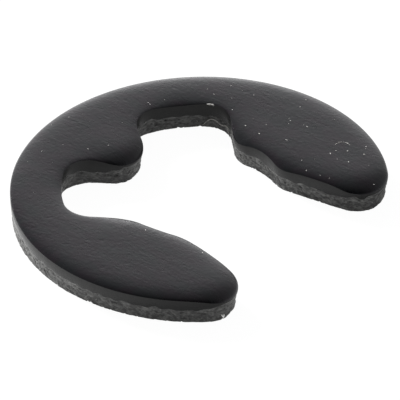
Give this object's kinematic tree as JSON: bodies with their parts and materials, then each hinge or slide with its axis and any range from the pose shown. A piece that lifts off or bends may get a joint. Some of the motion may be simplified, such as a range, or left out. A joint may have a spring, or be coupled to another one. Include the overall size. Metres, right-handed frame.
{
  "type": "e-clip",
  "caption": "Flat blanked E-shaped retaining clip that snaps into a shaft's groove and stops parts sliding off.",
  "frame": {"origin": "on the axis of the shaft that the clip grips, in the plane of the lower face that it rests on", "axes": "+Z along the shaft's axis and out of the rolled upper face, +X out of the mouth"},
  "size_m": [0.0062, 0.0072, 0.0006],
  "materials": {
    "spring_steel": "black phosphate, lightly oiled"
  },
  "bodies": {
    "root": {"clip": "spring_steel"}
  },
  "joints": []
}
